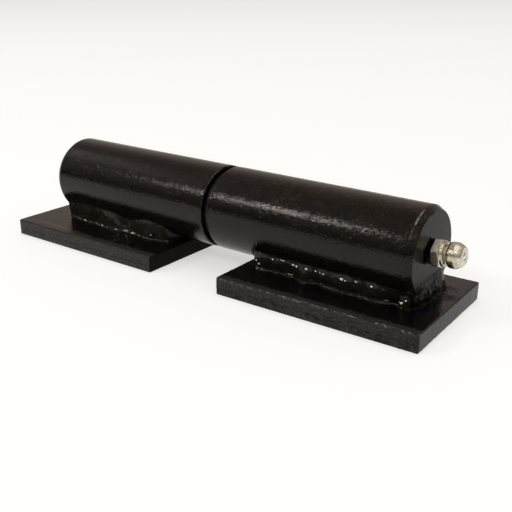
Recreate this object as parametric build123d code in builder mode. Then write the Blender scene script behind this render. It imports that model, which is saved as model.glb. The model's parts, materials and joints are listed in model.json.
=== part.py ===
from build123d import *
import os
from math import cos, sin, radians, sqrt

# Weld-on barrel hinge: two coaxial round barrels, each welded on its own
# flat plate, with a fixed pin in one half and a greased socket in the other.
# Origin: centre of the footprint, on the surface that the plates lie on.
# +X runs along the hinge axis towards the grease nipple, +Z is up.

# ---------------------------------------------------------------- dimensions
barrel_d = 25.0            # both barrels are cut from the same round bar
barrel_len = 65.0
gap = 2.0                  # space between the barrels, taken by the washer
end_chamfer_axial = 1.75   # chamfer on each outer end, along the axis
end_chamfer_radial = 1.0   # and across it
gap_chamfer = 0.4          # broken edge at the gap

plate_len = 61.0
plate_w = 40.0
plate_t = 5.2
plate_edge = 0.35          # broken edge of the flat bar
root_gap = 0.5             # between plate and barrel, filled by the welds

pin_d = 12.0
pin_in = 45.0              # length held in the pin barrel
pin_out = 48.0             # length that enters the socket beyond the gap
bush_od = 16.0
bush_len = 46.0
run_clear = 0.04           # radial running clearance of pin in bush
washer_od = 22.0
washer_id = 12.5
washer_play = 0.04         # axial play of the washer in the gap

# where the hinge axis and the middle of the gap lie over the footprint
gap_x = 0.5
axis_y = 1.3
axis_z = plate_t + root_gap + barrel_d / 2

# each plate was welded on a little out of line with its barrel
pin_plate_at = (gap_x - 44.7, axis_y - 2.2)
pin_plate_turn = 1.03      # degrees about Z
socket_plate_at = (gap_x + 42.0, axis_y - 0.8)
socket_plate_turn = 1.7

# grease nipple, M6 shank, drilled in a few degrees off the barrel's axis
nip_tilt = 6.2             # degrees, tip upwards
nip_lift = 0.25            # centre above the barrel's axis at the end face
nip_thread_r = 3.0
nip_shank_len = 5.5
nip_hex_af = 7.0
nip_hex_from = 0.9
nip_hex_to = 3.1
nip_neck_r = 2.35
nip_head_r = 3.35
nip_tip = 8.6
nip_bore_r = 1.4
ball_r = 1.2
ball_at = 7.55             # ball centre, from the end face along the nipple

R = barrel_d / 2
x_in = gap / 2
x_out = x_in + barrel_len
hinge_axis = Axis((gap_x, axis_y, axis_z), (1, 0, 0))

# planes square to the hinge axis, with local x = +Y and local y = +Z
def cross_plane(x):
    return Plane(origin=(gap_x + x, axis_y, axis_z), x_dir=(0, 1, 0), z_dir=(1, 0, 0))

# plane that holds the hinge axis: local x = +X, local y = +Z
axis_plane = Plane(origin=(gap_x, axis_y, axis_z), x_dir=(1, 0, 0), z_dir=(0, -1, 0))

# nipple frame
t = radians(nip_tilt)
nip_dir = Vector(cos(t), 0, sin(t))
nip_base = Vector(gap_x + x_out, axis_y, axis_z + nip_lift)
nip_section = Plane(origin=nip_base, x_dir=(0, 1, 0), z_dir=(sin(t), 0, -cos(t)))
def nip_plane(s):
    return Plane(origin=nip_base + nip_dir * s, x_dir=(0, 1, 0), z_dir=nip_dir)
nip_axis = Axis(nip_base, nip_dir)

# ---------------------------------------------------------------- pin half
# barrel with a blind bore for the pressed pin
with BuildPart() as pin_barrel:
    with BuildSketch(axis_plane) as s:
        with BuildLine() as l:
            Polyline(
                (-x_out, 0), (-x_out, R - end_chamfer_radial), (-x_out + end_chamfer_axial, R),
                (-x_in - gap_chamfer, R), (-x_in, R - gap_chamfer),
                (-x_in, pin_d / 2 + 0.5), (-x_in - 0.5, pin_d / 2),
                (-x_in - pin_in - 0.5, pin_d / 2), (-x_in - pin_in - 3.8, 0), (-x_out, 0))
        make_face()
    revolve(axis=hinge_axis)
pin_barrel.part.label = "pin_barrel"

# hardened pin with lead-in chamfers and two grease grooves on its running part
pin_r = pin_d / 2
pin_from = -x_in - pin_in
pin_to = x_in + pin_out
with BuildPart() as hinge_pin:
    with BuildSketch(axis_plane) as s:
        with BuildLine() as l:
            Polyline(
                (pin_from, 0), (pin_from, pin_r - 1.0), (pin_from + 1.0, pin_r),
                (x_in + 13.0, pin_r), (x_in + 13.5, pin_r - 0.5), (x_in + 14.5, pin_r - 0.5), (x_in + 15.0, pin_r),
                (x_in + 31.0, pin_r), (x_in + 31.5, pin_r - 0.5), (x_in + 32.5, pin_r - 0.5), (x_in + 33.0, pin_r),
                (pin_to - 1.0, pin_r), (pin_to, pin_r - 1.0), (pin_to, 0), (pin_from, 0))
        make_face()
    revolve(axis=hinge_axis)
hinge_pin.part.label = "hinge_pin"

# flat washer round the pin, smaller than the barrels
with BuildPart() as thrust_washer:
    with BuildSketch(cross_plane(-x_in + washer_play / 2)) as s:
        Circle(washer_od / 2)
        Circle(washer_id / 2, mode=Mode.SUBTRACT)
    extrude(amount=gap - washer_play)
    chamfer(thrust_washer.edges().filter_by(GeomType.CIRCLE).sort_by(SortBy.RADIUS)[-2:], 0.2)
thrust_washer.part.label = "thrust_washer"

# ---------------------------------------------------------------- socket half
# barrel bored for the bush, with a cross-drilled end for the nipple
with BuildPart() as socket_barrel:
    with BuildSketch(axis_plane) as s:
        with BuildLine() as l:
            Polyline(
                (x_in, bush_od / 2 + 0.5), (x_in, R - gap_chamfer), (x_in + gap_chamfer, R),
                (x_out - end_chamfer_axial, R), (x_out, R - end_chamfer_radial), (x_out, 0),
                (x_in + 54.5, 0), (x_in + 50.5, pin_d / 2 + 0.3), (x_in + bush_len + 0.2, pin_d / 2 + 0.3),
                (x_in + bush_len + 0.2, bush_od / 2), (x_in + 0.5, bush_od / 2), (x_in, bush_od / 2 + 0.5))
        make_face()
    revolve(axis=hinge_axis)
    # tapped hole for the nipple's shank, then the grease way through to the bore
    with BuildSketch(nip_plane(0.6)) as s:
        Circle(nip_thread_r)
    extrude(amount=-(nip_shank_len + 1.9), mode=Mode.SUBTRACT)
    with BuildSketch(nip_plane(-nip_shank_len)) as s:
        Circle(1.5)
    extrude(amount=-8.0, mode=Mode.SUBTRACT)
socket_barrel.part.label = "socket_barrel"

# plain bronze bush pressed into the socket
with BuildPart() as socket_bush:
    with BuildSketch(cross_plane(x_in + 0.2)) as s:
        Circle(bush_od / 2)
        Circle(pin_d / 2 + run_clear, mode=Mode.SUBTRACT)
    extrude(amount=bush_len)
    chamfer(socket_bush.edges().filter_by(GeomType.CIRCLE).sort_by(Axis.X)[:2], 0.3)
socket_bush.part.label = "socket_bush"

# ---------------------------------------------------------------- plates
def plate_plane(at, turn):
    a = radians(turn)
    return Plane(origin=(at[0], at[1], 0), x_dir=(cos(a), sin(a), 0), z_dir=(0, 0, 1))

with BuildPart() as pin_plate:
    with BuildSketch(plate_plane(pin_plate_at, pin_plate_turn)) as s:
        Rectangle(plate_len, plate_w)
    extrude(amount=plate_t)
    chamfer(pin_plate.edges().filter_by(Axis.Z), plate_edge)
    chamfer(pin_plate.faces().sort_by(Axis.Z)[-1].edges(), plate_edge)
pin_plate.part.label = "pin_plate"

with BuildPart() as socket_plate:
    with BuildSketch(plate_plane(socket_plate_at, socket_plate_turn)) as s:
        Rectangle(plate_len, plate_w)
    extrude(amount=plate_t)
    chamfer(socket_plate.edges().filter_by(Axis.Z), plate_edge)
    chamfer(socket_plate.faces().sort_by(Axis.Z)[-1].edges(), plate_edge)
socket_plate.part.label = "socket_plate"

# ---------------------------------------------------------------- welds
# A bead fills the wedge between the plate and the barrel. Each station gives
# x, the toe's distance from the axis on the plate, the toe's angle below the
# horizontal on the barrel, and how far the face bulges.
pin_front = [(-64.2, 9.0, 41, 0.4), (-57.0, 9.8, 36, 0.7), (-49.0, 9.6, 36, 0.7), (-42.0, 9.8, 39, 0.9),
             (-36.0, 9.5, 44, 0.8), (-29.0, 9.6, 37, 0.9), (-22.0, 9.4, 36, 0.9), (-16.2, 8.4, 46, 0.4)]
pin_back = [(-64.2, 10.4, 40, 0.5), (-55.0, 11.4, 37, 0.9), (-45.0, 12.0, 35, 1.0), (-36.0, 11.2, 38, 0.9),
            (-27.0, 11.7, 37, 1.0), (-18.5, 9.6, 46, 0.5)]
socket_front = [(15.8, 9.0, 41, 0.4), (22.0, 8.9, 38, 0.8), (29.0, 8.5, 38, 0.9), (34.0, 9.9, 38, 0.9),
                (41.0, 8.9, 37, 0.8), (49.0, 9.3, 34, 0.9), (56.0, 9.1, 37, 0.9), (64.2, 7.4, 38, 0.6)]
socket_back = [(16.4, 9.2, 46, 0.5), (26.0, 11.0, 41, 0.9), (37.0, 10.6, 42, 0.8), (48.0, 11.4, 40, 1.0),
               (57.0, 11.2, 40, 0.9), (64.2, 12.0, 38, 0.8)]
zp = -(root_gap + R)       # plate's top, from the hinge axis

def bead_outlines(side, stations):
    # for each station: x, then root, toe on the plate, crown of the face, toe
    # on the barrel and an inner corner that lies inside the barrel
    for x, yt, ang, bulge in stations:
        a = radians(ang)
        rb = R - 0.25
        toe_p = (side * yt, zp)
        toe_b = (side * rb * cos(a), -rb * sin(a))
        dx, dy = toe_b[0] - toe_p[0], toe_b[1] - toe_p[1]
        n = sqrt(dx * dx + dy * dy)
        crown = ((toe_p[0] + toe_b[0]) / 2 + side * dy / n * bulge,
                 (toe_p[1] + toe_b[1]) / 2 - side * dx / n * bulge)
        yield x, (side * 1.5, zp), toe_p, crown, toe_b, (side * 1.5, -R + 2.5)

with BuildPart() as pin_front_weld:
    for x, root, toe_p, crown, toe_b, inner in bead_outlines(-1, pin_front):
        with BuildSketch(cross_plane(x)):
            with BuildLine():
                Line(root, toe_p)
                ThreePointArc(toe_p, crown, toe_b)
                Line(toe_b, inner)
                Line(inner, root)
            make_face()
    loft()
    add(pin_barrel.part, mode=Mode.SUBTRACT)
pin_front_weld.part.label = "pin_front_weld"

with BuildPart() as pin_back_weld:
    for x, root, toe_p, crown, toe_b, inner in bead_outlines(1, pin_back):
        with BuildSketch(cross_plane(x)):
            with BuildLine():
                Line(root, toe_p)
                ThreePointArc(toe_p, crown, toe_b)
                Line(toe_b, inner)
                Line(inner, root)
            make_face()
    loft()
    add(pin_barrel.part, mode=Mode.SUBTRACT)
pin_back_weld.part.label = "pin_back_weld"

with BuildPart() as socket_front_weld:
    for x, root, toe_p, crown, toe_b, inner in bead_outlines(-1, socket_front):
        with BuildSketch(cross_plane(x)):
            with BuildLine():
                Line(root, toe_p)
                ThreePointArc(toe_p, crown, toe_b)
                Line(toe_b, inner)
                Line(inner, root)
            make_face()
    loft()
    add(socket_barrel.part, mode=Mode.SUBTRACT)
socket_front_weld.part.label = "socket_front_weld"

with BuildPart() as socket_back_weld:
    for x, root, toe_p, crown, toe_b, inner in bead_outlines(1, socket_back):
        with BuildSketch(cross_plane(x)):
            with BuildLine():
                Line(root, toe_p)
                ThreePointArc(toe_p, crown, toe_b)
                Line(toe_b, inner)
                Line(inner, root)
            make_face()
    loft()
    add(socket_barrel.part, mode=Mode.SUBTRACT)
socket_back_weld.part.label = "socket_back_weld"

# the weld that wraps the nipple end: outlines at three heights over the plate
end_x = 64.2
end_outlines = [
    (0.0, [(-8.8, 0.0), (-7.2, 1.5), (-4.0, 2.3), (-0.5, 2.6), (2.5, 3.6), (5.5, 5.2), (9.0, 4.6), (11.6, 2.6), (12.6, 0.0)]),
    (3.0, [(-9.4, 0.0), (-7.4, 1.8), (-4.0, 2.6), (-0.5, 2.7), (2.5, 3.1), (5.5, 3.8), (8.4, 3.4), (10.6, 2.0), (11.6, 0.0)]),
    (5.8, [(-9.4, 0.0), (-7.4, 1.7), (-4.0, 2.15), (-0.5, 2.2), (2.5, 2.3), (5.2, 2.3), (7.6, 2.1), (9.2, 1.4), (10.0, 0.0)]),
]
with BuildPart() as socket_end_weld:
    for z, pts in end_outlines:
        with BuildSketch(Plane(origin=(gap_x + end_x, axis_y, plate_t + z), x_dir=(1, 0, 0), z_dir=(0, 0, 1))):
            with BuildLine():
                Spline([(dx, y) for y, dx in pts])
                Line((pts[-1][1], pts[-1][0]), (pts[0][1], pts[0][0]))
            make_face()
    loft()
    add(socket_barrel.part, mode=Mode.SUBTRACT)
socket_end_weld.part.label = "socket_end_weld"

# ---------------------------------------------------------------- grease nipple
with BuildPart() as nipple_body:
    with BuildSketch(nip_plane(nip_hex_from)) as s:
        RegularPolygon(nip_hex_af / 2, 6, major_radius=False, rotation=4)
    extrude(amount=nip_hex_to - nip_hex_from)
    # turned chamfers take the hexagon's corners off
    with BuildSketch(nip_section) as s:
        with BuildLine() as l:
            Polyline((0, nip_hex_from - 1), (3.75, nip_hex_from - 0.1), (4.15, nip_hex_from + 0.3),
                     (4.15, nip_hex_to - 0.45), (3.45, nip_hex_to), (0, nip_hex_to + 1), (0, nip_hex_from - 1))
        make_face()
    revolve(axis=nip_axis, mode=Mode.INTERSECT)
    # shank, shoulder, neck and head
    with BuildSketch(nip_section) as s:
        with BuildLine() as l:
            Polyline((0, -nip_shank_len), (nip_thread_r - 0.5, -nip_shank_len), (nip_thread_r, -nip_shank_len + 0.5),
                     (nip_thread_r, -0.1), (2.55, 0.25), (2.55, nip_hex_from), (3.3, nip_hex_from + 0.2),
                     (3.3, nip_hex_to), (3.05, nip_hex_to + 0.6), (nip_neck_r, 4.05), (nip_neck_r, 4.35),
                     (nip_head_r - 0.35, 4.95), (nip_head_r, 5.45), (nip_head_r, 6.75), (nip_head_r - 0.3, 7.2),
                     (1.95, nip_tip - 0.1), (1.8, nip_tip), (0, nip_tip), (0, -nip_shank_len))
        make_face()
    revolve(axis=nip_axis)
    # grease way with the ball's seat at the tip and a rolled lip at the shank's end
    with BuildSketch(nip_section) as s:
        with BuildLine() as l:
            Polyline((0, -nip_shank_len - 1), (0.9, -nip_shank_len - 1), (0.9, -nip_shank_len + 0.5),
                     (nip_bore_r, -nip_shank_len + 0.5), (nip_bore_r, 7.5), (0.97, 8.3), (0.97, nip_tip + 0.5),
                     (0, nip_tip + 0.5), (0, -nip_shank_len - 1))
        make_face()
    revolve(axis=nip_axis, mode=Mode.SUBTRACT)
nipple_body.part.label = "nipple_body"

with BuildPart(nip_plane(ball_at)) as nipple_ball:
    Sphere(ball_r)
nipple_ball.part.label = "nipple_ball"

spring_from = -nip_shank_len + 0.5 + 0.2
spring_len = ball_at - ball_r - 0.2 - spring_from
with BuildPart() as nipple_spring:
    with BuildLine() as coil:
        Helix(pitch=spring_len / 11, height=spring_len, radius=0.95,
              center=nip_base + nip_dir * spring_from, direction=nip_dir)
    with BuildSketch(Plane(origin=coil.line @ 0, z_dir=coil.line % 0)) as s:
        Circle(0.16)
    sweep(path=coil.line, is_frenet=True)
nipple_spring.part.label = "nipple_spring"

# ---------------------------------------------------------------- export
os.makedirs("parts", exist_ok=True)
for piece in (pin_barrel, hinge_pin, thrust_washer, socket_barrel, socket_bush, pin_plate, socket_plate,
              pin_front_weld, pin_back_weld, socket_front_weld, socket_back_weld, socket_end_weld,
              nipple_body, nipple_ball, nipple_spring):
    export_step(piece.part, "parts/" + piece.part.label + ".step")
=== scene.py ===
"""Looks for the weld-on barrel hinge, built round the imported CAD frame.

Lengths in the helpers are in millimetres and become metres when a mesh is made.
The part's frame: +X along the hinge axis towards the grease nipple, +Z up.
"""
import bpy
import json
import math
import numpy as np
from mathutils import Matrix, Vector


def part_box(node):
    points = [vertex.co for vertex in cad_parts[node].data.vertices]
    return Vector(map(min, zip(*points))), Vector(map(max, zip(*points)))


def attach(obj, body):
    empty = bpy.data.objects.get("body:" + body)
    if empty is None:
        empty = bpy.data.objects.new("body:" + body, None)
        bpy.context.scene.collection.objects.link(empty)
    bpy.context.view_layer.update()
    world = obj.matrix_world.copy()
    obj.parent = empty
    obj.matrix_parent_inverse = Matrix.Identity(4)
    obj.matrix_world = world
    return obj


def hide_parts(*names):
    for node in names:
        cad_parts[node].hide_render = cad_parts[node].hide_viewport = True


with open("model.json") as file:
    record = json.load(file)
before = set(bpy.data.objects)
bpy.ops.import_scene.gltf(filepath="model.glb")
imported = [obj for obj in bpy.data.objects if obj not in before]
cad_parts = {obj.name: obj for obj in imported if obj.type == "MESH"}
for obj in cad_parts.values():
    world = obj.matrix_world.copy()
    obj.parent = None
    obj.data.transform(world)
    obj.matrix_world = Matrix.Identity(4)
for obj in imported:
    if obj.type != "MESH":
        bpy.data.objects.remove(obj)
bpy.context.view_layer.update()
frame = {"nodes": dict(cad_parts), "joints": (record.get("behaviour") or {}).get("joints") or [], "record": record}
MM = 0.001

# ------------------------------------------------------------ places, from the frame
nodes = frame["nodes"]
record = frame["record"]
joint = {j["name"]: j for j in frame["joints"]}


def box_mm(name):
    lo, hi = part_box(name)
    return np.array(lo) / MM, np.array(hi) / MM


pb_lo, pb_hi = box_mm("pin_barrel")
sb_lo, sb_hi = box_mm("socket_barrel")
R = (pb_hi[2] - pb_lo[2]) / 2                      # barrel radius
AX = np.array([(pb_hi[0] + sb_lo[0]) / 2, (pb_lo[1] + pb_hi[1]) / 2, (pb_lo[2] + pb_hi[2]) / 2])
HALF_GAP = (sb_lo[0] - pb_hi[0]) / 2
X_OUT = sb_hi[0] - AX[0]                           # outer end faces, from the gap's middle
PLATE_T = box_mm("pin_plate")[1][2]
mounts = {m["name"]: m for m in record["mounts"]}
PIN_PLATE = np.array(mounts["pin_plate_face"]["pos_m"]) / MM
SOCKET_PLATE = np.array(mounts["socket_plate_face"]["pos_m"]) / MM
PLATE_L, PLATE_W = 61.0, 40.0
TURN_PIN, TURN_SOCKET = math.radians(1.03), math.radians(1.7)


# ------------------------------------------------------------ noise on numpy points
def _corner(ix, iy, iz, seed):
    h = (ix * 374761393 + iy * 668265263 + iz * 1440662683 + seed * 982451653) & 0xFFFFFFFF
    h = ((h ^ (h >> 13)) * 1274126177) & 0xFFFFFFFF
    h = ((h ^ (h >> 16)) * 2246822519) & 0xFFFFFFFF
    h = h ^ (h >> 15)
    a = (h & 0xFFFF) / 65536.0 * 2 * math.pi
    z = ((h >> 16) & 0xFFFF) / 65536.0 * 2 - 1
    r = np.sqrt(np.maximum(0, 1 - z * z))
    return r * np.cos(a), r * np.sin(a), z


def noise(p, seed=0):
    """Gradient noise, about -1 to 1, at points p (n, 3)."""
    p = np.asarray(p, float) + 1000.37
    i = np.floor(p).astype(np.int64)
    f = p - i
    w = f * f * f * (f * (f * 6 - 15) + 10)
    out = np.zeros(len(p))
    for dx in (0, 1):
        wx = w[:, 0] if dx else 1 - w[:, 0]
        for dy in (0, 1):
            wy = w[:, 1] if dy else 1 - w[:, 1]
            for dz in (0, 1):
                wz = w[:, 2] if dz else 1 - w[:, 2]
                gx, gy, gz = _corner(i[:, 0] + dx, i[:, 1] + dy, i[:, 2] + dz, seed)
                out += wx * wy * wz * (gx * (f[:, 0] - dx) + gy * (f[:, 1] - dy) + gz * (f[:, 2] - dz))
    return out * 1.5


def fbm(p, size, octaves=3, seed=0, gain=0.5):
    p = np.asarray(p, float) / size
    total, amp, norm = 0.0, 1.0, 0.0
    for k in range(octaves):
        total = total + amp * noise(p * 2.03 ** k, seed + 17 * k)
        norm += amp
        amp *= gain
    return total / norm


def smooth(a, b, x):
    t = np.clip((np.asarray(x, float) - a) / (b - a), 0, 1)
    return t * t * (3 - 2 * t)


# ------------------------------------------------------------ meshes
def make(name, verts_mm, faces, angle=40):
    me = bpy.data.meshes.new(name)
    me.from_pydata((np.asarray(verts_mm, float) * MM).tolist(), [], faces)
    me.validate()
    me.update()
    me.shade_smooth()
    if angle:
        me.set_sharp_from_angle(angle=math.radians(angle))
    ob = bpy.data.objects.new(name, me)
    bpy.context.scene.collection.objects.link(ob)
    return ob


def recalc(ob):
    import bmesh
    bm = bmesh.new()
    bm.from_mesh(ob.data)
    bmesh.ops.recalc_face_normals(bm, faces=bm.faces)
    bm.to_mesh(ob.data)
    bm.free()
    ob.data.update()


def fill(pts, step):
    """Points along a polyline of (x, r, step or None), no further apart than step."""
    out = [pts[0][:2]]
    for (x0, r0, _), (x1, r1, s) in zip(pts, pts[1:]):
        n = max(1, int(math.ceil(math.hypot(x1 - x0, r1 - r0) / (s or step))))
        for k in range(1, n + 1):
            out.append((x0 + (x1 - x0) * k / n, r0 + (r1 - r0) * k / n))
    return np.array(out)


def revolved(name, profile, around, shape):
    """A solid of revolution on the hinge axis. profile is (x, r) from axis to axis, or a closed
    ring; shape(x, r, angle, points) returns the moved x and r."""
    a = np.arange(around) / around * 2 * math.pi
    closed = profile[0][1] > 1e-6
    ring = profile if closed else profile[1:-1]
    X = np.repeat(ring[:, 0], around)
    Rr = np.repeat(ring[:, 1], around)
    A = np.tile(a, len(ring))
    P = np.stack([X, Rr * np.cos(A), Rr * np.sin(A)], 1)
    X2, R2 = shape(X, Rr, A, P)
    V = np.stack([AX[0] + X2, AX[1] + R2 * np.cos(A), AX[2] + R2 * np.sin(A)], 1)
    faces = []
    n = len(ring)
    for i in range(n if closed else n - 1):
        i2 = (i + 1) % n
        for k in range(around):
            k2 = (k + 1) % around
            faces.append((i * around + k, i * around + k2, i2 * around + k2, i2 * around + k))
    V = V.tolist()
    if not closed:
        for end, row in ((profile[0], 0), (profile[-1], n - 1)):
            c = len(V)
            V.append([AX[0] + end[0], AX[1], AX[2]])
            for k in range(around):
                k2 = (k + 1) % around
                q = (row * around + k, row * around + k2)
                faces.append((c, q[1], q[0]) if row == 0 else (c, q[0], q[1]))
    ob = make(name, V, faces)
    recalc(ob)
    return ob


# ------------------------------------------------------------ barrels
def bar_skin(x, r, a, p, seed, gap_side):
    """Drawn bar under brushed-on enamel: slow unevenness, small pits, ragged edge at the gap."""
    outer = smooth(R - 1.2, R - 0.6, r)
    dr = outer * (0.016 * fbm(p * (0.35, 1, 1), 9.0, 2, seed) + 0.0025 * fbm(p * (0.6, 1, 1), 1.6, 2, seed + 3))
    pit = np.maximum(0, fbm(p, 1.4, 2, seed + 9) - 0.40)
    dr = dr - outer * 0.04 * pit
    near = np.exp(-((np.abs(x) - HALF_GAP) / 0.9) ** 2) * smooth(R - 2.0, R - 0.3, r)
    rag = fbm(p * (0.5, 1, 1), 1.6, 3, seed + 21)
    dr = dr + near * (0.17 * rag - 0.04)
    dx = near * 0.26 * fbm(p * (0.5, 1, 1), 1.2, 3, seed + 33)
    end = smooth(X_OUT - 2.2, X_OUT - 1.2, np.abs(x))
    dr = dr + end * outer * 0.018 * fbm(p, 2.3, 2, seed + 41)
    face = smooth(X_OUT - 0.05, X_OUT - 0.01, np.abs(x))
    dx = dx + face * 0.016 * fbm(p, 5.0, 2, seed + 51) * np.sign(x)
    return x + dx, r + dr


PIN_BARREL = fill([
    (-X_OUT, 0, None), (-X_OUT, R - 1.12, 0.7), (-X_OUT + 0.10, R - 1.02, 0.1), (-X_OUT + 1.62, R - 0.07, 0.4),
    (-X_OUT + 1.80, R, 0.1), (-HALF_GAP - 3.0, R, 0.42), (-HALF_GAP - 0.45, R, 0.22), (-HALF_GAP - 0.16, R - 0.12, 0.12),
    (-HALF_GAP, R - 0.45, 0.2), (-HALF_GAP, 6.5, 0.8), (-HALF_GAP - 0.5, 6.0, 0.4), (-HALF_GAP - 45.5, 6.0, 4.0),
    (-HALF_GAP - 48.8, 0, 4.0)], 0.5)
SOCKET_BARREL = fill([
    (X_OUT, 0, None), (X_OUT, R - 1.12, 0.7), (X_OUT - 0.10, R - 1.02, 0.1), (X_OUT - 1.56, R - 0.11, 0.4),
    (X_OUT - 1.86, R, 0.1), (HALF_GAP + 3.0, R, 0.42), (HALF_GAP + 0.34, R, 0.22), (HALF_GAP + 0.26, R - 0.10, 0.2),
    (HALF_GAP + 0.06, R - 0.80, 0.2), (HALF_GAP, R - 1.3, 0.2), (HALF_GAP, 8.5, 0.6), (HALF_GAP + 0.5, 8.0, 0.4), (HALF_GAP + 46.2, 8.0, 4.0),
    (HALF_GAP + 46.2, 6.3, 1.0), (HALF_GAP + 50.5, 6.3, 2.0), (HALF_GAP + 54.5, 0, 2.0)], 0.5)

pin_barrel = revolved("pin_barrel_enamelled", PIN_BARREL, 224,
                      lambda x, r, a, p: bar_skin(x, r, a, p, 5, 1))
socket_barrel = revolved("socket_barrel_enamelled", SOCKET_BARREL, 224,
                         lambda x, r, a, p: bar_skin(x, r, a, p, 77, -1))


# ------------------------------------------------------------ plates
def spaced(length, step, edge=(0.0, 0.12, 0.28, 0.5, 0.8, 1.2)):
    half = length / 2
    n = max(2, int(round((length - 2 * edge[-1]) / step)))
    mid = np.linspace(-half + edge[-1], half - edge[-1], n + 1)
    lo = [-half + e for e in edge[:-1]]
    return np.array(lo + mid.tolist() + [-v for v in lo[::-1]])


def plate(name, centre, turn, xs, ys, zs, radius, shape):
    """A flat bar with broken edges. shape(local points, normals) returns moved local points."""
    nx, ny, nz = len(xs), len(ys), len(zs)
    index, V = {}, []

    def vid(i, j, k):
        key = (i, j, k)
        if key not in index:
            index[key] = len(V)
            V.append((xs[i], ys[j], zs[k]))
        return index[key]

    faces = []
    for i in range(nx - 1):
        for j in range(ny - 1):
            faces.append((vid(i, j, nz - 1), vid(i + 1, j, nz - 1), vid(i + 1, j + 1, nz - 1), vid(i, j + 1, nz - 1)))
            faces.append((vid(i, j, 0), vid(i, j + 1, 0), vid(i + 1, j + 1, 0), vid(i + 1, j, 0)))
    for i in range(nx - 1):
        for k in range(nz - 1):
            faces.append((vid(i, 0, k), vid(i + 1, 0, k), vid(i + 1, 0, k + 1), vid(i, 0, k + 1)))
            faces.append((vid(i, ny - 1, k), vid(i, ny - 1, k + 1), vid(i + 1, ny - 1, k + 1), vid(i + 1, ny - 1, k)))
    for j in range(ny - 1):
        for k in range(nz - 1):
            faces.append((vid(0, j, k), vid(0, j, k + 1), vid(0, j + 1, k + 1), vid(0, j + 1, k)))
            faces.append((vid(nx - 1, j, k), vid(nx - 1, j + 1, k), vid(nx - 1, j + 1, k + 1), vid(nx - 1, j, k + 1)))
    P = np.array(V)
    half = np.array([xs[-1], ys[-1], zs[-1]])
    lo = np.array([xs[0], ys[0], zs[0]])
    inner = np.clip(P, lo + radius, half - radius)
    n = P - inner
    length = np.linalg.norm(n, axis=1, keepdims=True)
    n = n / np.maximum(length, 1e-9)
    P = inner + n * radius
    P = shape(P, n)
    c, s = math.cos(turn), math.sin(turn)
    W = np.stack([centre[0] + c * P[:, 0] - s * P[:, 1], centre[1] + s * P[:, 0] + c * P[:, 1], P[:, 2]], 1)
    return make(name, W, faces, angle=50)


def plate_skin(P, n, seed, sheared, smear=None):
    """Mill surface on top, guillotined long edges with a burnished and a torn part, sawn ends."""
    top = np.clip(n[:, 2], 0, 1)
    front = np.clip(-n[:, 1], 0, 1)
    back = np.clip(n[:, 1], 0, 1)
    ends = np.abs(n[:, 0])
    d = top * (0.030 * fbm(P, 9.0, 2, seed) + 0.005 * fbm(P, 1.6, 2, seed + 2))
    ymin = P[:, 1].min()
    margin = top * np.exp(-((P[:, 1] - ymin) / (0.9 + 0.6 * sheared)) ** 2)
    d = d + margin * sheared * (0.13 * fbm(P * (0.5, 1, 1), 1.1, 3, seed + 4))
    if smear is not None:
        cx, cy = smear
        rr = np.hypot(P[:, 0] - cx, P[:, 1] - cy) + 0.5 * fbm(P, 3.5, 2, seed + 60)
        th = np.arctan2(P[:, 1] - cy, P[:, 0] - cx)
        ring = np.sin(rr / 1.15 * 2 * math.pi) * smooth(1.2, 2.4, rr) * smooth(6.4, 4.6, rr)
        ring = ring * smooth(-1.9, -1.2, th) * smooth(2.3, 1.6, th)
        d = d + top * 0.17 * ring * (0.6 + 0.8 * fbm(P, 2.4, 2, seed + 61))
        d = d + top * 0.22 * smooth(7.0, 2.0, rr)
    for side, amount, s2 in ((front, sheared, 0), (back, 0.8, 40)):
        tear = PLATE_T * 0.40 + 0.50 * fbm(P * (1, 0, 0), 7.0, 3, seed + 6 + s2) + 0.28 * fbm(P * (1, 0, 0), 2.1, 3, seed + 7 + s2)
        below = smooth(0.16, -0.16, P[:, 2] - tear)
        rough = 0.22 * fbm(P * (0.8, 1, 1.3), 1.2, 3, seed + 8 + s2)
        lip = np.exp(-((P[:, 2] - tear) / 0.20) ** 2)
        d = d + side * amount * (-0.13 * below + below * rough - 0.14 * lip * smooth(-0.25, 0.3, fbm(P * (1, 0, 0), 4.0, 2, seed + 12 + s2)))
        d = d + side * (0.014 + 0.022 * sheared) * fbm(P * (1.6, 1, 0.35), 1.0, 2, seed + 9 + s2)
    d = d + ends * (0.025 * fbm(P, 3.5, 3, seed + 10) + 0.006 * fbm(P * (1, 1.0, 3.0), 1.3, 2, seed + 11))
    edge = (np.abs(n).max(1) < 0.97)
    d = d + np.where(edge, (0.04 + 0.11 * sheared) * fbm(P, 1.0, 3, seed + 13), 0)
    keep = P[:, 2] > 0.02
    d = np.where(keep, np.clip(d, -0.30, 0.28), 0)
    Q = P + n * d[:, None]
    Q[:, 2] = np.maximum(Q[:, 2], 0)
    half_w = PLATE_W / 2 + 0.10
    Q[:, 1] = np.clip(Q[:, 1], -half_w, half_w)
    return Q


xs_p = spaced(PLATE_L, 0.42)
ys_p = spaced(PLATE_W, 0.45)
zs_p = np.array([0, 0.12, 0.30, 0.52, 0.76, 1.0, 1.24, 1.48, 1.72, 1.96, 2.2, 2.44, 2.68, 2.94, 3.22, 3.52, 3.84, 4.16, 4.44, 4.68, 4.88, 5.04, 5.2]) * PLATE_T / 5.2
pin_plate = plate("pin_plate_enamelled", PIN_PLATE, TURN_PIN, xs_p, ys_p, zs_p, 0.38,
                  lambda P, n: plate_skin(P, n, 300, 0.35))
socket_plate = plate("socket_plate_enamelled", SOCKET_PLATE, TURN_SOCKET, xs_p, ys_p, zs_p, 0.32,
                     lambda P, n: plate_skin(P, n, 500, 1.0, smear=(24.4, 7.2)))


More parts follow.
